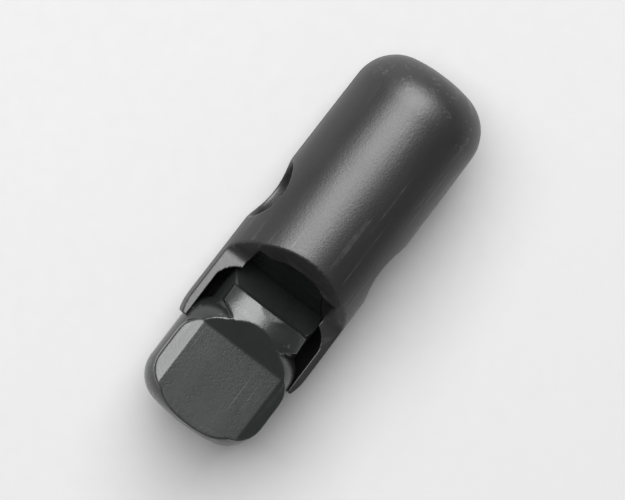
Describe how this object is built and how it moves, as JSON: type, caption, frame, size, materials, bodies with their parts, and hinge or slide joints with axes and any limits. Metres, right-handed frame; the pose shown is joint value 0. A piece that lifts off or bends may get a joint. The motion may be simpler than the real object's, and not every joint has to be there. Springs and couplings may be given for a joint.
{
  "type": "cord lock",
  "caption": "Cylinder cord lock: a sprung push plunger slides in a domed barrel with an arched notch and grips drawcord passed through its cross hole.",
  "frame": {"origin": "centre of the cord hole, on the barrel's axis", "axes": "+X along the barrel's axis from the domed end towards the plunger's head, +Y along the cord hole, +Z out of the notched front"},
  "size_m": [0.024, 0.008, 0.0081],
  "materials": {
    "barrel_plastic": "satin moulded",
    "plunger_plastic": "satin moulded, a little glossier",
    "spring_wire": "drawn wire"
  },
  "bodies": {
    "barrel": {"barrel": "barrel_plastic", "spring": "spring_wire"},
    "plunger": {"plunger": "plunger_plastic"}
  },
  "joints": [
    {"name": "plunger_slide", "type": "slide", "parent": "barrel", "child": "plunger", "axis": [-1, 0, 0], "range_m": [0, 0.0022], "stiffness_N_per_m": 900, "springref_m": -0.004, "deforming": ["spring"]}
  ]
}
